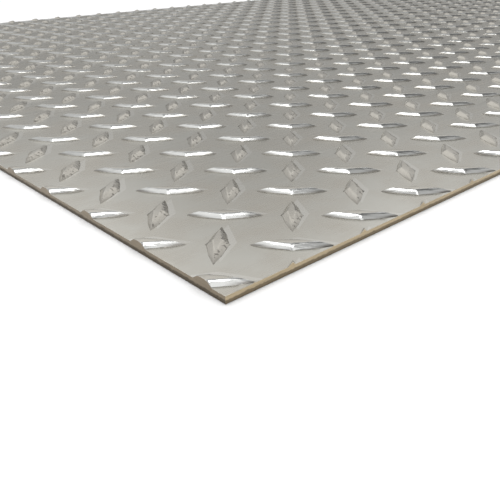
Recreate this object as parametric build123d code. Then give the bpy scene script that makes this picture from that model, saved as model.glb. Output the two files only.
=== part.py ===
from build123d import *
import math
import os

# Aluminium checker plate: one sheet, rolled with raised lozenge lugs and sheared to a stock size.
# Millimetres, +Z up. The origin is the middle of the underside, and +X runs along the long side.

# Sheet as sheared
sheet_length = 1219.2
sheet_width = 914.4
base_thickness = 3.175

# Lug: a long lozenge with four sloping facets that rise to a crown
lug_length = 32.6
lug_width = 9.8
lug_height = 2.0

# Pattern: each lug lies end-on to the flanks of four crossing lugs, one pitch away
lug_pitch = 28.2
lug_turn = 45.0  # degrees from the long side, to the left and to the right in turn

# Where the shears fell in the pattern: the first lug's place from the sheet's low corner,
# as shares of the distance at which the pattern repeats
first_lug_length_share = 0.053
first_lug_width_share = 0.275

# The two crossing sets of lugs: turn, and shift as a share of the repeat
crossing_set_share = 1 / 2
lug_sets = ((-lug_turn, 0), (lug_turn, crossing_set_share))

# Along both sides of the sheet the pattern repeats at the diagonal of a square of one pitch
pattern_repeat = lug_pitch * math.sqrt(2)

# How far a lug reaches from its centre, and the blank past the sheet on each side
lug_reach = lug_length / 2
blank_margin = lug_length
plate_thickness = base_thickness + lug_height


def lug_places():
    """Where the lugs stand on the rolled blank: every one that the sheet keeps, whole or in part."""
    places = []
    for turn, shift_share in lug_sets:
        start_x = (first_lug_length_share + shift_share) * pattern_repeat - sheet_length / 2
        start_y = (first_lug_width_share + shift_share) * pattern_repeat - sheet_width / 2
        columns = math.ceil(sheet_length / pattern_repeat)
        rows = math.ceil(sheet_width / pattern_repeat)
        for column in range(-1, columns + 1):
            for row in range(-1, rows + 1):
                x = start_x + column * pattern_repeat
                y = start_y + row * pattern_repeat
                if abs(x) < sheet_length / 2 + lug_reach and abs(y) < sheet_width / 2 + lug_reach:
                    places.append(Location((x, y, base_thickness), (0, 0, turn)))
    return places


def lug_skin():
    """One lug on the rolled face: its foot line, and the four facets that meet at its crown."""
    corners = [
        Vector(lug_length / 2, 0),
        Vector(0, lug_width / 2),
        Vector(-lug_length / 2, 0),
        Vector(0, -lug_width / 2),
    ]
    crown = Vector(0, 0, lug_height)
    foot = Wire.make_polygon(corners, close=True)
    facets = []
    for corner, following in zip(corners, corners[1:] + corners[:1]):
        facets.append(Face(Wire.make_polygon([corner, following, crown], close=True)))
    return foot, facets


def rolled_blank():
    """The plate as it leaves the rolls, wider and longer than the sheet that is cut from it."""
    slab = Box(
        sheet_length + 2 * blank_margin,
        sheet_width + 2 * blank_margin,
        base_thickness,
        align=(Align.CENTER, Align.CENTER, Align.MIN),
    )
    *plain_faces, rolled_face = slab.faces().sort_by(Axis.Z)
    foot, facets = lug_skin()
    places = lug_places()
    pierced_face = Face(rolled_face.outer_wire(), [foot.moved(place) for place in places])
    lug_faces = [facet.moved(place) for place in places for facet in facets]
    return Solid(Shell([pierced_face] + lug_faces + plain_faces))


def sheared_sheet(blank):
    """The blank cut square on all four sides, through the lugs that stand on the cut lines."""
    between_the_cuts = Box(sheet_length, sheet_width, 4 * plate_thickness)
    return blank & between_the_cuts


checker_plate = sheared_sheet(rolled_blank())

os.makedirs("parts", exist_ok=True)
export_step(checker_plate, "parts/checker_plate.step", write_pcurves=False)
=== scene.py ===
"""Aluminium checker plate: a rolled sheet with crossing lozenge lugs and sheared edges, on a stage."""

import math

import bmesh
import bpy
from mathutils import Matrix, Vector


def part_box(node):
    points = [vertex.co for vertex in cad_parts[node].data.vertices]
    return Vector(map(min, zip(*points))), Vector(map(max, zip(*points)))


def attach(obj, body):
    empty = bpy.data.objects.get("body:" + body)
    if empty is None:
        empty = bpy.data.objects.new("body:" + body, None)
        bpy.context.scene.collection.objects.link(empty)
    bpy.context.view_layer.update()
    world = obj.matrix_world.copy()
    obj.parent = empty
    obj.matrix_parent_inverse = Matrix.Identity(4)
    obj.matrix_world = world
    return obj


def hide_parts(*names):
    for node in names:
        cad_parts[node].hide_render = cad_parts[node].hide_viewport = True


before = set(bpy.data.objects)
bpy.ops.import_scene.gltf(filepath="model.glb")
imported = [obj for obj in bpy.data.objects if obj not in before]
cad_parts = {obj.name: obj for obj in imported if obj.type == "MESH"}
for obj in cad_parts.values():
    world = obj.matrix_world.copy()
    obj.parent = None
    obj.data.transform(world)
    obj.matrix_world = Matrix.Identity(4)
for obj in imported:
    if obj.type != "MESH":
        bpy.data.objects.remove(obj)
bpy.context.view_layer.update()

bl_info = {
    "name": "Checker Plate",
    "version": (1, 0, 0),
    "blender": (4, 5, 0),
    "location": "View3D > Sidebar > Checker Plate",
    "description": "Rolls, shears and finishes an aluminium checker plate, and sets its stage",
    "category": "Add Mesh",
}

SHEET_LOW, SHEET_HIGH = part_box("checker_plate")


class PlateSizes(bpy.types.PropertyGroup):
    """Sizes of the rolled pattern and of the sheared edge."""

    lug_pitch: bpy.props.FloatProperty(
        name="Lug pitch",
        description="Distance from a lug to the crossing lug beside it",
        default=0.0282, unit="LENGTH", precision=4,
    )
    lug_length: bpy.props.FloatProperty(
        name="Lug length", description="Length of a lug at its foot, tip to tip",
        default=0.0326, unit="LENGTH", precision=4,
    )
    lug_width: bpy.props.FloatProperty(
        name="Lug width", description="Width of a lug at its foot, knuckle to knuckle",
        default=0.0098, unit="LENGTH", precision=4,
    )
    lug_height: bpy.props.FloatProperty(
        name="Lug height", description="Height of a lug's flat crown above the base",
        default=0.0020, unit="LENGTH", precision=4,
    )
    crown_length: bpy.props.FloatProperty(
        name="Crown length", description="Length of a lug's flat crown",
        default=0.0170, unit="LENGTH", precision=4,
    )
    crown_width: bpy.props.FloatProperty(
        name="Crown width", description="Width of a lug's flat crown",
        default=0.0030, unit="LENGTH", precision=4,
    )
    crown_lean: bpy.props.FloatVectorProperty(
        name="Crown lean",
        description="How far the rolls push a lug's crown along its length and across it",
        default=(-0.0006, -0.00015), size=2, subtype="TRANSLATION", unit="LENGTH", precision=5,
    )
    # Painted sheen: the band of this width beside a lug is painted lighter, standing in for light off a
    # shallow skirt that the rolls push up
    drag_sheen_width: bpy.props.FloatProperty(
        name="Drag width", description="Width of the bright band that the rolls leave beside a lug",
        default=0.0032, unit="LENGTH", precision=4,
    )
    first_lug_length_share: bpy.props.FloatProperty(
        name="First lug along", description="First lug from the low end, as a share of the repeat",
        default=0.053, subtype="FACTOR",
    )
    first_lug_width_share: bpy.props.FloatProperty(
        name="First lug across", description="First lug from the low side, as a share of the repeat",
        default=0.275, subtype="FACTOR",
    )
    shear_roll: bpy.props.FloatProperty(
        name="Shear roll-over", description="Radius at which the shears drew the top edge down",
        default=0.00015, unit="LENGTH", precision=5,
    )
    shear_slant: bpy.props.FloatProperty(
        name="Shear slant", description="How far the torn lower half of a cut face stands back",
        default=0.00012, unit="LENGTH", precision=5,
    )


class PlateFinish(bpy.types.PropertyGroup):
    """Colours and gloss of the rolled face and of the sheared edges."""

    metal_colour: bpy.props.FloatVectorProperty(
        name="Metal", description="Colour of the bright rolled aluminium",
        default=(0.80, 0.782, 0.713), subtype="COLOR", min=0, max=1,
    )
    smudge_colour: bpy.props.FloatVectorProperty(
        name="Smudge", description="Colour of the duller patches left by handling",
        default=(0.735, 0.697, 0.618), subtype="COLOR", min=0, max=1,
    )
    crown_colour: bpy.props.FloatVectorProperty(
        name="Crown", description="Colour of the handled crowns of the lugs",
        default=(0.785, 0.74, 0.66), subtype="COLOR", min=0, max=1,
    )
    # Painted sheen: the lighter colour of the band beside a lug
    drag_sheen_colour: bpy.props.FloatVectorProperty(
        name="Drag", description="Colour of the bright band beside a lug",
        default=(0.90, 0.88, 0.82), subtype="COLOR", min=0, max=1,
    )
    # Painted highlight: a lighter, whiter copy of the metal for the flanks of the set that catches the key
    # light
    lit_flank_colour: bpy.props.FloatVectorProperty(
        name="Burnished flank", description="Colour of the burnished flanks of the first set of lugs",
        default=(0.83, 0.835, 0.815), subtype="COLOR", min=0, max=1,
    )
    # Painted shade: a darker copy of the metal for the flanks of the other set
    shaded_flank_colour: bpy.props.FloatVectorProperty(
        name="Dull flank", description="Colour of the duller flanks of the second set of lugs",
        default=(0.77, 0.735, 0.66), subtype="COLOR", min=0, max=1,
    )
    # A dark line at the foot of each lug, dark patches on torn flanks and dark wedges at the tips
    dark_mark_colour: bpy.props.FloatVectorProperty(
        name="Residue", description="Colour of the thin dark line in the hollow round a lug",
        default=(0.30, 0.28, 0.25), subtype="COLOR", min=0, max=1,
    )
    side_colour: bpy.props.FloatVectorProperty(
        name="Cut side", description="Colour of the sheared long sides",
        default=(0.385, 0.315, 0.21), subtype="COLOR", min=0, max=1,
    )
    # Painted shade: the short ends take a darker copy of the long sides' cut colour
    shaded_end_colour: bpy.props.FloatVectorProperty(
        name="Cut end", description="Colour of the sheared short ends",
        default=(0.215, 0.178, 0.130), subtype="COLOR", min=0, max=1,
    )
    base_roughness: bpy.props.FloatProperty(
        name="Base roughness", description="Roughness of the satin ground between the lugs",
        default=0.24, subtype="FACTOR", min=0, max=1,
    )
    flank_roughness: bpy.props.FloatProperty(
        name="Flank roughness", description="Roughness of the burnished flanks of the lugs",
        default=0.14, subtype="FACTOR", min=0, max=1,
    )


class StageSetup(bpy.types.PropertyGroup):
    """Floor, light and camera."""

    floor_colour: bpy.props.FloatVectorProperty(
        name="Floor", description="Colour of the plain floor",
        default=(0.92, 0.92, 0.92), subtype="COLOR", min=0, max=1,
    )
    floor_size: bpy.props.FloatProperty(
        name="Floor size", description="Side of the square floor", default=60.0, unit="LENGTH",
    )
    key_power: bpy.props.FloatProperty(
        name="Key power", description="Power of the soft light high over the camera",
        default=6.5, unit="POWER",
    )
    fill_strength: bpy.props.FloatProperty(
        name="Fill strength", description="Strength of the wide light that whitens the floor", default=2.0,
    )
    camera_place: bpy.props.FloatVectorProperty(
        name="Camera place", description="Camera from the near corner of the base's top",
        default=(-0.1038, -0.1308, 0.0997), subtype="TRANSLATION", unit="LENGTH",
    )
    camera_heading: bpy.props.FloatProperty(
        name="Heading", description="Direction of view from +X towards +Y",
        default=math.radians(48.72), subtype="ANGLE",
    )
    camera_dip: bpy.props.FloatProperty(
        name="Dip", description="Angle of view below the horizon",
        default=math.radians(26.54), subtype="ANGLE",
    )
    camera_roll: bpy.props.FloatProperty(
        name="Roll", description="Camera's roll, positive lifts what is on the right",
        default=math.radians(1.23), subtype="ANGLE",
    )
    camera_view: bpy.props.FloatProperty(
        name="View angle", description="Angle across the square picture",
        default=math.radians(45.06), subtype="ANGLE",
    )


# Shapes of the plate

# A quarter of a lug's foot line, from its tip to the nib at its knuckle, as shares of its half length
# and half width
LUG_TIP_SHARES = (1.0, 0.0)
LUG_SIDE_SHARES = (0.55, 0.53)
LUG_SHOULDER_SHARES = (0.075, 0.86)
LUG_KNUCKLE_SHARES = (0.0, 1.0)

# A lug's tile reaches past half a pitch at its tips and stays short of it at its flanks,
# by this share of the pitch
TILE_LAP_SHARE = 0.15

# Profile of a lug's flank from its foot to its crown: shares of the way in, and of the lug's height
LUG_PROFILE_SHARES = ((0.12, 0.18), (0.45, 0.58), (0.76, 0.88), (1.0, 1.0))

# Turn of the two crossing sets of lugs, and their shift as a share of the repeat
LUG_SETS = ((math.radians(-45), 0.0), (math.radians(-135), 0.5))

# Repeats of the pattern that are rolled past the sheet, in all and before its low corner
SPARE_REPEATS = 3
LEADING_REPEATS = 2

# Distances within which seams are merged, and within which a cut passes through a corner
MERGE_DISTANCE = 1e-5
CUT_DISTANCE = 1e-7

# Edges are sharp from the first angle on. Where two flanks meet at a knuckle, they are rounded over
# up to the second. A flank is a face that points upwards by less than the share.
SHARP_ANGLE = math.radians(30)
KNUCKLE_ANGLE = math.radians(48)
FLANK_FACING = 0.95

# Roll-over of a cut edge, step by step: shares of its radius outwards and down
ROLL_STEPS = ((0.65, 0.25), (1.0, 0.9))

# Share of the base's thickness that the shears burnished before the metal tore
BURNISHED_SHARE = 0.55

# Mesh attribute of the lug flanks that the rolls tore as they let go, and how squarely such a flank
# faces +X and +Z
TORN_SIDE = "torn_side"
TORN_FACING = 0.1

# Material slots of the rolled face and underside, of the cut long sides and of the cut short ends
ROLLED_SLOT, SIDE_SLOT, END_SLOT = 0, 1, 2


def base_height(sizes):
    """Height of the base's top, between the lugs."""
    return SHEET_HIGH.z - sizes.lug_height


def pattern_repeat(sizes):
    """Distance at which the pattern repeats along both sides of the sheet."""
    return sizes.lug_pitch * math.sqrt(2)


def on_foot_line(edge, half_length, half_width):
    """Whether an edge of the flat tile is part of the lug's foot line."""
    return edge.is_boundary and all(
        abs(vert.co.x) <= half_length and abs(vert.co.y) <= half_width + MERGE_DISTANCE
        for vert in edge.verts
    )


def flat_tile(sizes):
    """A tile of the base at height zero, and in its middle the face inside a lug's foot line."""
    half_length, half_width = sizes.lug_length / 2, sizes.lug_width / 2
    half_pitch = sizes.lug_pitch / 2
    lap = TILE_LAP_SHARE * sizes.lug_pitch
    tile = bmesh.new()

    def foot(shares):
        return tile.verts.new((shares[0] * half_length, shares[1] * half_width, 0))

    tip, side = foot(LUG_TIP_SHARES), foot(LUG_SIDE_SHARES)
    shoulder, knuckle = foot(LUG_SHOULDER_SHARES), foot(LUG_KNUCKLE_SHARES)
    tile_tip = tile.verts.new((half_pitch + lap, 0, 0))
    tile_corner = tile.verts.new((half_pitch, half_pitch, 0))
    tile_flank = tile.verts.new((0, half_pitch - lap, 0))
    tile.faces.new((tip, tile_tip, tile_corner, side))
    tile.faces.new((side, tile_corner, tile_flank, shoulder))
    tile.faces.new((shoulder, tile_flank, knuckle))

    for axis in ("X", "Y"):
        quarters = tile.verts[:] + tile.edges[:] + tile.faces[:]
        bmesh.ops.mirror(tile, geom=quarters, axis=axis, merge_dist=MERGE_DISTANCE)
    foot_edges = [edge for edge in tile.edges if on_foot_line(edge, half_length, half_width)]
    top = bmesh.ops.contextual_create(tile, geom=foot_edges)["faces"][0]
    bmesh.ops.recalc_face_normals(tile, faces=tile.faces[:])
    if top.normal.z < 0:
        bmesh.ops.reverse_faces(tile, faces=tile.faces[:])
    return tile, top


def lug_tile(sizes):
    """One lug on its own tile of the base, with its length along X and the base at height zero."""
    tile, top = flat_tile(sizes)
    lean = Vector((*sizes.crown_lean, 0))
    length, width, middle = sizes.lug_length, sizes.lug_width, Vector()
    for inward, rise in LUG_PROFILE_SHARES:
        next_length = sizes.lug_length + inward * (sizes.crown_length - sizes.lug_length)
        next_width = sizes.lug_width + inward * (sizes.crown_width - sizes.lug_width)
        next_middle = inward * lean + Vector((0, 0, rise * sizes.lug_height))
        top = bmesh.ops.extrude_discrete_faces(tile, faces=[top])["faces"][0]
        bmesh.ops.scale(
            tile, vec=(next_length / length, next_width / width, 1), verts=top.verts[:],
            space=Matrix.Translation(-middle),
        )
        bmesh.ops.translate(tile, vec=next_middle - middle, verts=top.verts[:])
        length, width, middle = next_length, next_width, next_middle
    return tile


def rolled_pattern(sizes, repeat):
    """The two crossing lugs of one repeat, side by side, as a mesh."""
    pair = bmesh.new()
    for turn, shift_share in LUG_SETS:
        tile = lug_tile(sizes)
        shift = shift_share * repeat
        place = Matrix.Translation((shift, shift, 0)) @ Matrix.Rotation(turn, 4, "Z")
        bmesh.ops.transform(tile, matrix=place, verts=tile.verts[:])
        mesh = bpy.data.meshes.new("lug_tile")
        tile.to_mesh(mesh)
        tile.free()
        pair.from_mesh(mesh)
        bpy.data.meshes.remove(mesh)
    mesh = bpy.data.meshes.new("lug_pair")
    pair.to_mesh(mesh)
    pair.free()
    return mesh


def arrayed(mesh, repeat, columns, rows):
    """The mesh repeated along X and Y, as a bmesh with its seams merged."""
    rolls = bpy.data.objects.new("rolls", mesh)
    bpy.context.scene.collection.objects.link(rolls)
    for name, count, offset in (("columns", columns, (repeat, 0, 0)), ("rows", rows, (0, repeat, 0))):
        array = rolls.modifiers.new(name, "ARRAY")
        array.count = count
        array.use_relative_offset = False
        array.use_constant_offset = True
        array.constant_offset_displace = offset
    evaluated = rolls.evaluated_get(bpy.context.evaluated_depsgraph_get())
    blank = bmesh.new()
    blank.from_mesh(evaluated.to_mesh())
    evaluated.to_mesh_clear()
    bpy.data.objects.remove(rolls)
    bpy.data.meshes.remove(mesh)
    bmesh.ops.remove_doubles(blank, verts=blank.verts[:], dist=MERGE_DISTANCE)
    return blank


def sheared(blank, half_length, half_width, roll):
    """Cuts the blank at the four sides of the sheet, a roll-over short of them."""
    for axis, half in ((Vector((1, 0, 0)), half_length), (Vector((0, 1, 0)), half_width)):
        for sign in (1, -1):
            bmesh.ops.bisect_plane(
                blank, geom=blank.verts[:] + blank.edges[:] + blank.faces[:], dist=CUT_DISTANCE,
                plane_co=axis * sign * (half - roll), plane_no=axis * sign, clear_outer=True,
            )


def open_edges(sheet):
    """The edges at which the sheet is still open."""
    return [edge for edge in sheet.edges if edge.is_boundary]


def drawn_ring(sheet, grow, drop):
    """Extrudes the sheet's open edge by a ring, moved outwards and down: its vertices and faces."""
    made = bmesh.ops.extrude_edge_only(sheet, edges=open_edges(sheet))["geom"]
    ring = [item for item in made if isinstance(item, bmesh.types.BMVert)]
    faces = [item for item in made if isinstance(item, bmesh.types.BMFace)]
    reach_x = max(vert.co.x for vert in ring)
    reach_y = max(vert.co.y for vert in ring)
    bmesh.ops.scale(sheet, vec=(1 + grow / reach_x, 1 + grow / reach_y, 1), verts=ring)
    bmesh.ops.translate(sheet, vec=(0, 0, -drop), verts=ring)
    return ring, faces


def level_ring(sheet, ring, height):
    """Brings a ring of vertices to one height."""
    bmesh.ops.scale(sheet, vec=(1, 1, 0), verts=ring)
    bmesh.ops.translate(sheet, vec=(0, 0, height), verts=ring)


def close_sheet(sheet, sizes):
    """Rolls the cut edge over, draws it down in a burnished and a torn band, and adds the underside."""
    grown, dropped = 0.0, 0.0
    for grow_share, drop_share in ROLL_STEPS:
        grow = (grow_share - grown) * sizes.shear_roll
        drop = (drop_share - dropped) * sizes.shear_roll
        drawn_ring(sheet, grow, drop)
        grown, dropped = grow_share, drop_share
    ring, burnished = drawn_ring(sheet, 0, 0)
    level_ring(sheet, ring, base_height(sizes) * (1 - BURNISHED_SHARE))
    ring, torn = drawn_ring(sheet, -sizes.shear_slant, 0)
    level_ring(sheet, ring, 0)
    for face in burnished + torn:
        face.normal_update()
        on_long_side = abs(face.normal.y) > abs(face.normal.x)
        face.material_index = SIDE_SLOT if on_long_side else END_SLOT
    bmesh.ops.contextual_create(sheet, geom=open_edges(sheet), mat_nr=ROLLED_SLOT)
    bmesh.ops.recalc_face_normals(sheet, faces=sheet.faces[:])


def mark_sheet(sheet):
    """Marks the sharp edges of the sheet and the torn flanks of its lugs."""
    for face in sheet.faces:
        face.smooth = True
    for edge in sheet.edges:
        between_flanks = all(face.normal.z < FLANK_FACING for face in edge.link_faces)
        edge.smooth = edge.calc_face_angle(0) < (KNUCKLE_ANGLE if between_flanks else SHARP_ANGLE)
    torn_side = sheet.faces.layers.float.new(TORN_SIDE)
    for face in sheet.faces:
        face.normal_update()
        torn = TORN_FACING < face.normal.x and TORN_FACING < face.normal.z
        face[torn_side] = 1.0 if torn else 0.0


def rolled_and_sheared_sheet(sizes):
    """The whole sheet as a closed mesh: lugs, base, rounded cut edges, cut faces and underside."""
    half_length, half_width = SHEET_HIGH.x, SHEET_HIGH.y
    repeat = pattern_repeat(sizes)
    columns = math.ceil(2 * half_length / repeat) + SPARE_REPEATS
    rows = math.ceil(2 * half_width / repeat) + SPARE_REPEATS
    sheet = arrayed(rolled_pattern(sizes, repeat), repeat, columns, rows)
    first_x = (sizes.first_lug_length_share - LEADING_REPEATS) * repeat - half_length
    first_y = (sizes.first_lug_width_share - LEADING_REPEATS) * repeat - half_width
    bmesh.ops.translate(sheet, vec=(first_x, first_y, base_height(sizes)), verts=sheet.verts[:])
    sheared(sheet, half_length, half_width, sizes.shear_roll)
    close_sheet(sheet, sizes)
    mark_sheet(sheet)
    return sheet


# Finishes

# Noise: features a metre along X, Y and Z, detail and roughness
GRAIN_NOISE = ((14, 900, 1), 3, 0.5)
SMUDGE_NOISE = ((30, 38, 1), 4, 0.6)
WEAR_NOISE = ((520, 520, 520), 3, 0.5)
STREAK_NOISE = ((40, 900, 1), 1, 0.5)
CUT_SIDE_NOISE = ((60, 300, 2600), 4, 0.6)
CUT_END_NOISE = ((300, 60, 2600), 4, 0.6)
TEAR_NOISE = ((700, 700, 350), 4, 0.65)
FLOOR_NOISE = ((3, 3, 3), 2, 0.5)

# Bumps: depth in metres and strength
GRAIN_BUMP = (0.00002, 0.16)
DENT_BUMP = (0.0005, 0.5)
STREAK_BUMP = (0.00002, 1.0)
TEAR_BUMP = (0.0003, 0.5)
CUT_STREAK_BUMP = (0.00008, 0.5)

# Shares of a lug's height over which its flank and its crown begin, and over which the dark line in the
# hollow round it and the dark wedges at its tips begin and end
FLANK_BEGINS = (0.02, 0.12)
CROWN_BEGINS = (0.92, 0.99)
HOLLOW_BEGINS = (0.005, 0.02)
HOLLOW_ENDS = (0.06, 0.13)
WEDGE_BEGINS = (0.005, 0.03)
WEDGE_ENDS = (0.22, 0.50)

# Shares of the way from a lug's middle to its foot line, over which its marks fade, its tips begin
# and its painted sheen band fades
FOOT_FADES = (1.0, 1.1)
TIP_BEGINS = (0.30, 0.75)
DRAG_SHEEN_FADES = (0.97, 1.03)

# For the lugs of each set: how dark the wedges at their tips are, and how far their flanks are burnished
# to a lower roughness and given the lighter flank colour, a painted highlight, in place of the darker one,
# a painted shade
TIP_DARKENING = (0.85, 0.4)
FLANK_SHINES_AND_TINTS = (1.0, 0.0)

# Ranges of the noise that make a mark, and the strength of the mark at both ends where it isn't 0 and 1
SMUDGE_TINT = (0.38, 0.66)
SMUDGE_ROUGHENS = (0.4, 0.8, 0.0, 0.06)
GRAIN_RANGE = (0.3, 0.7)
HOLLOW_PATCHES = (0.35, 0.6, 0.25, 0.95)
TORN_PATCHES = (0.57, 0.62, 0, 0.85)
STREAK_HEIGHTS = (0.25, 0.75, -1, 1)
CUT_STREAKS = (0.45, 0.75, 0, 0.6)

# Shares of the painted sheen band's and the crown's own colour, dents of the lugs as a share of those of
# torn flanks, and how far the grain changes the roughness
DRAG_SHEEN_SHARE = 0.7
CROWN_SHARE = 0.5
LUG_DENT_SHARE = 0.08
GRAIN_ROUGHENS = 0.03

# Cut faces: where the burnished band ends and how far its end wanders, as shares of the base,
# and shade and roughness of the torn and the burnished band
BURNISHED_ENDS = (0.42, 0.58)
BAND_WANDERS = (0.3, 0.7, -0.12, 0.12)
TORN_SHADE, BURNISHED_SHADE = 0.62, 1.25
TORN_ROUGHNESS, BURNISHED_ROUGHNESS = 0.55, 0.38

# Sockets of a colour mix
MIX_FACTOR, MIX_FIRST, MIX_SECOND, MIX_RESULT = 0, 6, 7, 2

# How far the large flat faces lead the shading at rounded edges, of 100
FLAT_FACE_WEIGHT = 75


def add_node(tree, kind, **values):
    """A shader node with its settings."""
    node = tree.nodes.new(kind)
    for name, value in values.items():
        setattr(node, name, value)
    return node


def fill(node, **values):
    """Sets a node's inputs by name."""
    for name, value in values.items():
        node.inputs[name.replace("_", " ")].default_value = value


def stretched_noise(tree, coordinates, scale, detail, roughness):
    """Noise in metres, stretched by the three scales."""
    mapping = add_node(tree, "ShaderNodeMapping")
    mapping.inputs["Scale"].default_value = scale
    noise = add_node(tree, "ShaderNodeTexNoise")
    fill(noise, Scale=1.0, Detail=detail, Roughness=roughness)
    tree.links.new(coordinates, mapping.inputs["Vector"])
    tree.links.new(mapping.outputs["Vector"], noise.inputs["Vector"])
    return noise.outputs["Fac"]


def ranged(tree, value, low, high, to_low=0.0, to_high=1.0, smooth=False):
    """A value mapped from one range to another and held within it."""
    node = add_node(tree, "ShaderNodeMapRange", clamp=True)
    node.interpolation_type = "SMOOTHSTEP" if smooth else "LINEAR"
    fill(node, From_Min=low, From_Max=high, To_Min=to_low, To_Max=to_high)
    tree.links.new(value, node.inputs["Value"])
    return node.outputs["Result"]


def sums(tree, operation, first, second):
    """Math on two sockets or numbers."""
    node = add_node(tree, "ShaderNodeMath", operation=operation)
    for socket, value in zip(node.inputs, (first, second)):
        if isinstance(value, (int, float)):
            socket.default_value = value
        else:
            tree.links.new(value, socket)
    return node.outputs["Value"]


def mixed_colour(tree, factor, first, second):
    """Two colours, or sockets, mixed by a factor."""
    node = add_node(tree, "ShaderNodeMix", data_type="RGBA")
    tree.links.new(factor, node.inputs[MIX_FACTOR])
    for socket, value in ((node.inputs[MIX_FIRST], first), (node.inputs[MIX_SECOND], second)):
        if isinstance(value, bpy.types.NodeSocket):
            tree.links.new(value, socket)
        else:
            socket.default_value = (*value, 1)
    return node.outputs[MIX_RESULT]


def bumped(tree, height, distance, strength, normal=None):
    """A bump of the given depth in metres."""
    node = add_node(tree, "ShaderNodeBump")
    fill(node, Distance=distance, Strength=strength)
    tree.links.new(height, node.inputs["Height"])
    if normal is not None:
        tree.links.new(normal, node.inputs["Normal"])
    return node.outputs["Normal"]


def new_finish(name):
    """An empty metal material: its node tree, its shader and its object coordinates."""
    material = bpy.data.materials.new(name)
    material.use_nodes = True
    tree = material.node_tree
    shader = tree.nodes["Principled BSDF"]
    shader.inputs["Metallic"].default_value = 1.0
    coordinates = add_node(tree, "ShaderNodeTexCoord").outputs["Object"]
    return material, tree, shader, coordinates


def turned_along(tree, vector, turn):
    """A vector turned so that X runs along the lugs of a set."""
    node = add_node(tree, "ShaderNodeVectorRotate", rotation_type="Z_AXIS")
    node.inputs["Angle"].default_value = -turn
    tree.links.new(vector, node.inputs["Vector"])
    return node.outputs["Vector"]


def height_above_floor(tree, coordinates):
    """Height of a place on the sheet."""
    parts = add_node(tree, "ShaderNodeSeparateXYZ")
    tree.links.new(coordinates, parts.inputs["Vector"])
    return parts.outputs["Z"]


def near_lugs(tree, coordinates, sizes, turn, centre, across=1.0):
    """How far a place is from the middle of the nearest lug of a set, where one is the foot line.

    The centre is the place of one lug of the set. With nothing counted across, the value only tells
    how far along its lug a place lies.
    """
    half_repeat = pattern_repeat(sizes) / 2
    moved = add_node(tree, "ShaderNodeVectorMath", operation="SUBTRACT")
    moved.inputs[1].default_value = centre
    tree.links.new(coordinates, moved.inputs[0])
    wrapped = add_node(tree, "ShaderNodeVectorMath", operation="WRAP")
    wrapped.inputs[1].default_value = (half_repeat, half_repeat, 1)
    wrapped.inputs[2].default_value = (-half_repeat, -half_repeat, -1)
    tree.links.new(moved.outputs["Vector"], wrapped.inputs[0])
    quarter = add_node(tree, "ShaderNodeVectorMath", operation="ABSOLUTE")
    tree.links.new(turned_along(tree, wrapped.outputs["Vector"], turn), quarter.inputs[0])
    shares = add_node(tree, "ShaderNodeVectorMath", operation="DOT_PRODUCT")
    shares.inputs[1].default_value = (2 / sizes.lug_length, across * 2 / sizes.lug_width, 0)
    tree.links.new(quarter.outputs["Vector"], shares.inputs[0])
    return shares.outputs["Value"]


def first_lug(sizes, shift_share):
    """Place of the first lug of a set, from the low corner of the sheet."""
    repeat = pattern_repeat(sizes)
    return Vector((
        SHEET_LOW.x + (sizes.first_lug_length_share + shift_share) * repeat,
        SHEET_LOW.y + (sizes.first_lug_width_share + shift_share) * repeat,
        0,
    ))


def drag_sheen_band(tree, coordinates, sizes, turn, centre, raised):
    """Painted sheen: a lighter band beside the lugs of a set, standing in for light off the shallow skirt
    the rolls push up.
    """
    sheen_centre = centre + Vector((sizes.drag_sheen_width, 0, 0))
    band = ranged(tree, near_lugs(tree, coordinates, sizes, turn, sheen_centre), *DRAG_SHEEN_FADES, 1, 0)
    band = sums(tree, "MULTIPLY", sums(tree, "SUBTRACT", band, raised), DRAG_SHEEN_SHARE)
    return ranged(tree, band, 0, 1)


def between_heights(tree, rise, begins, ends):
    """One between two heights on a lug, fading to nothing below and above them."""
    return sums(tree, "MULTIPLY", ranged(tree, rise, *begins), ranged(tree, rise, *ends, 1, 0))


def dark_marks(tree, rise, wear, torn, tips):
    """Dark marks in the hollow round a lug, in the tears of its flank and in wedges at its tips."""
    hollow = between_heights(tree, rise, HOLLOW_BEGINS, HOLLOW_ENDS)
    hollow = sums(tree, "MULTIPLY", hollow, ranged(tree, wear, *HOLLOW_PATCHES))
    tears = sums(tree, "MULTIPLY", torn, ranged(tree, wear, *TORN_PATCHES))
    foot = between_heights(tree, rise, WEDGE_BEGINS, WEDGE_ENDS)
    wedges = sums(tree, "MULTIPLY", sums(tree, "MAXIMUM", *tips), foot)
    return sums(tree, "MAXIMUM", sums(tree, "MAXIMUM", hollow, tears), wedges)


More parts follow.
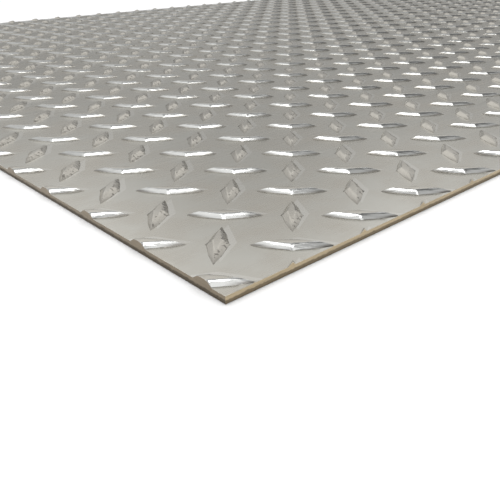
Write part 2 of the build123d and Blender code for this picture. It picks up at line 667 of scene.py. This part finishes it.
def rolled_aluminium(finish, sizes):
    """Satin ground and crowns with grain, smudges, painted sheen bands and dark marks, and flanks painted
    lighter on one set and darker on the other, torn on one side.
    """
    material, tree, shader, coordinates = new_finish("rolled_aluminium")
    grain = stretched_noise(tree, coordinates, *GRAIN_NOISE)
    smudge = stretched_noise(tree, coordinates, *SMUDGE_NOISE)
    wear = stretched_noise(tree, coordinates, *WEAR_NOISE)
    above_base = sums(tree, "SUBTRACT", height_above_floor(tree, coordinates), base_height(sizes))
    rise = sums(tree, "DIVIDE", above_base, sizes.lug_height)
    raised = ranged(tree, rise, *FLANK_BEGINS, smooth=True)
    crown = ranged(tree, rise, *CROWN_BEGINS, smooth=True)
    flank = sums(tree, "SUBTRACT", raised, crown)
    torn = add_node(tree, "ShaderNodeAttribute", attribute_name=TORN_SIDE).outputs["Fac"]

    tint = ranged(tree, smudge, *SMUDGE_TINT)
    colour = mixed_colour(tree, tint, tuple(finish.metal_colour), tuple(finish.smudge_colour))
    tips, streaks, shines_and_tints = [], [], []
    for (turn, shift_share), tip_dark, shine_and_tint in zip(LUG_SETS, TIP_DARKENING, FLANK_SHINES_AND_TINTS):
        centre = first_lug(sizes, shift_share)
        within = ranged(tree, near_lugs(tree, coordinates, sizes, turn, centre), *FOOT_FADES, 1, 0)
        tip = ranged(tree, near_lugs(tree, coordinates, sizes, turn, centre, 0.0), *TIP_BEGINS, 0, tip_dark)
        tips.append(sums(tree, "MULTIPLY", within, tip))
        drawn = stretched_noise(tree, turned_along(tree, coordinates, turn), *STREAK_NOISE)
        streaks.append(sums(tree, "MULTIPLY", within, ranged(tree, drawn, *STREAK_HEIGHTS)))
        shines_and_tints.append(sums(tree, "MULTIPLY", within, shine_and_tint))
        # Painted sheen: a lighter band is mixed in beside each lug
        band = drag_sheen_band(tree, coordinates, sizes, turn, centre, raised)
        colour = mixed_colour(tree, band, colour, tuple(finish.drag_sheen_colour))
    handled = sums(tree, "MULTIPLY", crown, CROWN_SHARE)
    colour = mixed_colour(tree, handled, colour, tuple(finish.crown_colour))
    # Painted light: the flanks of the first set take a lighter colour and those of the second a darker one
    burnish_and_lit_tint = sums(tree, "MULTIPLY", sums(tree, "ADD", *shines_and_tints), flank)
    shaded_flanks = sums(tree, "SUBTRACT", flank, burnish_and_lit_tint)
    colour = mixed_colour(tree, ranged(tree, burnish_and_lit_tint, 0, 1), colour, tuple(finish.lit_flank_colour))
    colour = mixed_colour(tree, ranged(tree, shaded_flanks, 0, 1), colour, tuple(finish.shaded_flank_colour))
    darkened = dark_marks(tree, rise, wear, torn, tips)
    colour = mixed_colour(tree, darkened, colour, tuple(finish.dark_mark_colour))
    tree.links.new(colour, shader.inputs["Base Color"])

    smoothest = finish.base_roughness - GRAIN_ROUGHENS
    roughest = finish.base_roughness + GRAIN_ROUGHENS
    satin = ranged(tree, grain, *GRAIN_RANGE, smoothest, roughest)
    satin = sums(tree, "ADD", satin, ranged(tree, smudge, *SMUDGE_ROUGHENS))
    polish = sums(tree, "MULTIPLY", burnish_and_lit_tint, finish.base_roughness - finish.flank_roughness)
    tree.links.new(sums(tree, "SUBTRACT", satin, polish), shader.inputs["Roughness"])

    normal = bumped(tree, grain, *GRAIN_BUMP)
    dented = sums(tree, "ADD", sums(tree, "MULTIPLY", raised, LUG_DENT_SHARE), torn)
    normal = bumped(tree, sums(tree, "MULTIPLY", wear, dented), *DENT_BUMP, normal)
    streaked = sums(tree, "MULTIPLY", sums(tree, "ADD", *streaks), flank)
    normal = bumped(tree, streaked, *STREAK_BUMP, normal)
    tree.links.new(normal, shader.inputs["Normal"])
    return material


def sheared_metal(finish_name, colour, base_top, streak_noise):
    """A cut face: a smooth burnished band above a torn, darker band, with streaks along the cut."""
    material, tree, shader, coordinates = new_finish(finish_name)
    streaks = stretched_noise(tree, coordinates, *streak_noise)
    tears = stretched_noise(tree, coordinates, *TEAR_NOISE)
    height = ranged(tree, height_above_floor(tree, coordinates), 0, base_top)
    edge = sums(tree, "ADD", height, ranged(tree, tears, *BAND_WANDERS))
    upper = ranged(tree, edge, *BURNISHED_ENDS, smooth=True)
    dark = tuple(TORN_SHADE * part for part in colour)
    light = tuple(min(1, BURNISHED_SHADE * part) for part in colour)
    shade = mixed_colour(tree, upper, dark, light)
    shade = mixed_colour(tree, ranged(tree, streaks, *CUT_STREAKS), shade, dark)
    tree.links.new(shade, shader.inputs["Base Color"])
    roughness = ranged(tree, upper, 0, 1, TORN_ROUGHNESS, BURNISHED_ROUGHNESS)
    tree.links.new(roughness, shader.inputs["Roughness"])
    normal = bumped(tree, tears, *TEAR_BUMP)
    normal = bumped(tree, streaks, *CUT_STREAK_BUMP, normal)
    tree.links.new(normal, shader.inputs["Normal"])
    return material


class CHECKERPLATE_OT_plate(bpy.types.Operator):
    """Roll, shear and finish the checker plate, in place of its plain solid"""

    bl_idname = "checker_plate.add_plate"
    bl_label = "Add checker plate"

    def execute(self, context):
        sizes = context.scene.checker_plate_sizes
        finish = context.scene.checker_plate_finish
        sheet = rolled_and_sheared_sheet(sizes)
        mesh = bpy.data.meshes.new("checker_plate_sheet")
        sheet.to_mesh(mesh)
        sheet.free()
        base_top = base_height(sizes)
        mesh.materials.append(rolled_aluminium(finish, sizes))
        mesh.materials.append(sheared_metal("sheared_side", finish.side_colour, base_top, CUT_SIDE_NOISE))
        # Painted shade: the short ends are a darker copy of the cut colour of the long sides
        mesh.materials.append(sheared_metal("shaded_sheared_end", finish.shaded_end_colour, base_top, CUT_END_NOISE))
        plate = bpy.data.objects.new("rolled_checker_plate", mesh)
        context.scene.collection.objects.link(plate)
        weighted = plate.modifiers.new("flat_faces_lead", "WEIGHTED_NORMAL")
        weighted.mode = "FACE_AREA"
        weighted.weight = FLAT_FACE_WEIGHT
        weighted.keep_sharp = True
        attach(plate, "root")
        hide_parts("checker_plate")
        return {"FINISHED"}


# Stage

# The floor lies this far below the sheet, and is matt, with a mottle of this shade
FLOOR_GAP = 0.0002
MOTTLE_SHADE = 0.985
FLOOR_ROUGHNESS = 0.9
FLOOR_SPECULAR = 0.1

# Key light: its place to the right of the camera, ahead of it and above the base, its size and its turn
KEY_PLACE = (-0.175, -0.09, 3.0)
KEY_SIZE = (1.55, 0.62)
KEY_TURN = math.radians(4)

# Angle over which the light that whitens the floor comes down
FILL_ANGLE = math.radians(90)

BACKDROP_GREY = 0.95

# Width of the camera's sensor in millimetres, and how near to the camera the view begins
SENSOR_WIDTH = 36.0
NEAREST_IN_VIEW = 0.005


def floor_finish(colour):
    """Plain matt white with a faint mottle."""
    material = bpy.data.materials.new("plain_floor")
    material.use_nodes = True
    tree = material.node_tree
    shader = tree.nodes["Principled BSDF"]
    coordinates = add_node(tree, "ShaderNodeTexCoord").outputs["Object"]
    mottle = stretched_noise(tree, coordinates, *FLOOR_NOISE)
    shade = mixed_colour(tree, mottle, tuple(colour), tuple(MOTTLE_SHADE * part for part in colour))
    tree.links.new(shade, shader.inputs["Base Color"])
    shader.inputs["Roughness"].default_value = FLOOR_ROUGHNESS
    shader.inputs["Specular IOR Level"].default_value = FLOOR_SPECULAR
    return material


# The grey room by height: sine of the elevation, and grey
ROOM_GREYS = (
    (0.0, 0.42), (0.07, 0.27), (0.14, 0.18), (0.20, 0.23), (0.27, 0.41),
    (0.35, 0.67), (0.45, 0.83), (0.6, 0.72), (1.0, 0.38),
)

# Soft-edged cards in the room: direction to the right, ahead and up as the camera faces,
# cosines at which a card begins and is full, and its grey
ROOM_CARDS = (
    ((0.70, 0.64, 0.32), 0.88, 0.98, 0.56),
    ((-0.70, 0.64, 0.32), 0.90, 0.98, 0.58),
    ((0.00, 0.97, 0.24), 0.95, 0.998, 0.35),
    ((0.42, 0.17, 0.89), 0.972, 0.992, 0.15),
    ((0.33, 0.32, 0.89), 0.95, 0.99, 0.15),
    ((0.00, -0.80, 0.50), 0.70, 0.90, 0.20),
    ((0.15, -0.40, 0.90), 0.976, 0.988, 0.95),
    ((-0.36, -0.34, 0.87), 0.955, 0.985, 0.72),
    ((-0.37, -0.13, 0.92), 0.962, 0.992, 0.90),
)


def ahead_and_right(heading):
    """Level directions ahead of the camera and to its right."""
    ahead = Vector((math.cos(heading), math.sin(heading), 0))
    right = Vector((math.sin(heading), -math.cos(heading), 0))
    return ahead, right


def studio_world(scene, heading):
    """A grey room with soft cards, seen only in reflections, behind a plain pale backdrop."""
    world = bpy.data.worlds.new("studio")
    scene.world = world
    world.use_nodes = True
    tree = world.node_tree
    tree.nodes.clear()
    direction = add_node(tree, "ShaderNodeTexCoord").outputs["Generated"]
    parts = add_node(tree, "ShaderNodeSeparateXYZ")
    tree.links.new(direction, parts.inputs["Vector"])
    ramp = add_node(tree, "ShaderNodeValToRGB")
    tree.links.new(parts.outputs["Z"], ramp.inputs["Fac"])
    while len(ramp.color_ramp.elements) < len(ROOM_GREYS):
        ramp.color_ramp.elements.new(1.0)
    for element, (place, grey) in zip(ramp.color_ramp.elements, ROOM_GREYS):
        element.position = place
        element.color = (grey, grey, grey, 1)
    colour = ramp.outputs["Color"]
    ahead, right = ahead_and_right(heading)
    for (to_right, to_ahead, to_up), begins, full, grey in ROOM_CARDS:
        to_card = right * to_right + ahead * to_ahead + Vector((0, 0, to_up))
        facing = add_node(tree, "ShaderNodeVectorMath", operation="DOT_PRODUCT")
        tree.links.new(direction, facing.inputs[0])
        facing.inputs[1].default_value = to_card.normalized()
        card = ranged(tree, facing.outputs["Value"], begins, full, smooth=True)
        colour = mixed_colour(tree, card, colour, (grey, grey, grey))
    room = add_node(tree, "ShaderNodeBackground")
    tree.links.new(colour, room.inputs["Color"])
    backdrop = add_node(tree, "ShaderNodeBackground")
    backdrop.inputs["Color"].default_value = (BACKDROP_GREY, BACKDROP_GREY, BACKDROP_GREY, 1)
    ray = add_node(tree, "ShaderNodeLightPath")
    choice = add_node(tree, "ShaderNodeMixShader")
    output = add_node(tree, "ShaderNodeOutputWorld")
    tree.links.new(ray.outputs["Is Camera Ray"], choice.inputs[0])
    tree.links.new(room.outputs["Background"], choice.inputs[1])
    tree.links.new(backdrop.outputs["Background"], choice.inputs[2])
    tree.links.new(choice.outputs["Shader"], output.inputs["Surface"])


def light_panel(scene, name, place, heading, size, power):
    """A level rectangular light that faces down, with its length along the camera's heading."""
    data = bpy.data.lights.new(name, "AREA")
    data.shape = "RECTANGLE"
    data.size, data.size_y = size
    data.energy = power
    panel = bpy.data.objects.new(name, data)
    panel.location = place
    panel.rotation_euler = (0, 0, heading - math.pi / 2)
    panel.visible_camera = False
    scene.collection.objects.link(panel)


def floor_light(scene, strength):
    """A wide soft light from straight above, which whitens the floor and isn't mirrored in the metal."""
    data = bpy.data.lights.new("floor_light", "SUN")
    data.energy = strength
    data.angle = FILL_ANGLE
    light = bpy.data.objects.new("floor_light", data)
    light.visible_glossy = False
    scene.collection.objects.link(light)


def corner_camera(scene, stage, corner):
    """The camera close over the near corner."""
    data = bpy.data.cameras.new("camera")
    data.sensor_width = SENSOR_WIDTH
    data.lens = data.sensor_width / 2 / math.tan(stage.camera_view / 2)
    data.clip_start = NEAREST_IN_VIEW
    camera = bpy.data.objects.new("camera", data)
    camera.location = corner + Vector(stage.camera_place)
    level = Matrix.Rotation(stage.camera_heading - math.pi / 2, 4, "Z")
    dipped = Matrix.Rotation(math.pi / 2 - stage.camera_dip, 4, "X")
    rolled = Matrix.Rotation(-stage.camera_roll, 4, "Z")
    camera.rotation_euler = (level @ dipped @ rolled).to_euler()
    scene.collection.objects.link(camera)
    scene.camera = camera


class CHECKERPLATE_OT_stage(bpy.types.Operator):
    """Set the floor, the light and the camera"""

    bl_idname = "checker_plate.set_stage"
    bl_label = "Set stage"

    def execute(self, context):
        scene = context.scene
        stage = scene.checker_plate_stage
        sizes = scene.checker_plate_sizes
        plane = bmesh.new()
        bmesh.ops.create_grid(plane, x_segments=1, y_segments=1, size=stage.floor_size / 2)
        bmesh.ops.translate(plane, vec=(0, 0, -FLOOR_GAP), verts=plane.verts[:])
        mesh = bpy.data.meshes.new("floor")
        plane.to_mesh(mesh)
        plane.free()
        mesh.materials.append(floor_finish(stage.floor_colour))
        floor = bpy.data.objects.new("floor", mesh)
        scene.collection.objects.link(floor)

        studio_world(scene, stage.camera_heading)
        corner = Vector((SHEET_LOW.x, SHEET_LOW.y, base_height(sizes)))
        corner_camera(scene, stage, corner)
        ahead, right = ahead_and_right(stage.camera_heading)
        over_camera = corner + Vector((stage.camera_place[0], stage.camera_place[1], 0))
        to_right, to_ahead, to_up = KEY_PLACE
        key_place = over_camera + right * to_right + ahead * to_ahead + Vector((0, 0, to_up))
        key_heading = stage.camera_heading + KEY_TURN
        light_panel(scene, "key_panel", key_place, key_heading, KEY_SIZE, stage.key_power)
        floor_light(scene, stage.fill_strength)
        scene.view_settings.view_transform = "Standard"
        scene.view_settings.look = "None"
        return {"FINISHED"}


class CHECKERPLATE_PT_panel(bpy.types.Panel):
    """Lists the settings of the plate and the steps that make it"""

    bl_idname = "CHECKERPLATE_PT_panel"
    bl_label = "Checker Plate"
    bl_space_type = "VIEW_3D"
    bl_region_type = "UI"
    bl_category = "Checker Plate"

    def draw(self, context):
        layout = self.layout
        for settings in ("checker_plate_sizes", "checker_plate_finish", "checker_plate_stage"):
            group = getattr(context.scene, settings)
            box = layout.box()
            for name in group.__annotations__:
                box.prop(group, name)
        layout.operator(CHECKERPLATE_OT_plate.bl_idname)
        layout.operator(CHECKERPLATE_OT_stage.bl_idname)


CLASSES = (
    PlateSizes,
    PlateFinish,
    StageSetup,
    CHECKERPLATE_OT_plate,
    CHECKERPLATE_OT_stage,
    CHECKERPLATE_PT_panel,
)


def register():
    for cls in CLASSES:
        bpy.utils.register_class(cls)
    bpy.types.Scene.checker_plate_sizes = bpy.props.PointerProperty(type=PlateSizes)
    bpy.types.Scene.checker_plate_finish = bpy.props.PointerProperty(type=PlateFinish)
    bpy.types.Scene.checker_plate_stage = bpy.props.PointerProperty(type=StageSetup)


def unregister():
    del bpy.types.Scene.checker_plate_stage
    del bpy.types.Scene.checker_plate_finish
    del bpy.types.Scene.checker_plate_sizes
    for cls in reversed(CLASSES):
        bpy.utils.unregister_class(cls)


def main():
    register()
    bpy.ops.checker_plate.add_plate()
    bpy.ops.checker_plate.set_stage()


if __name__ == "__main__":
    main()
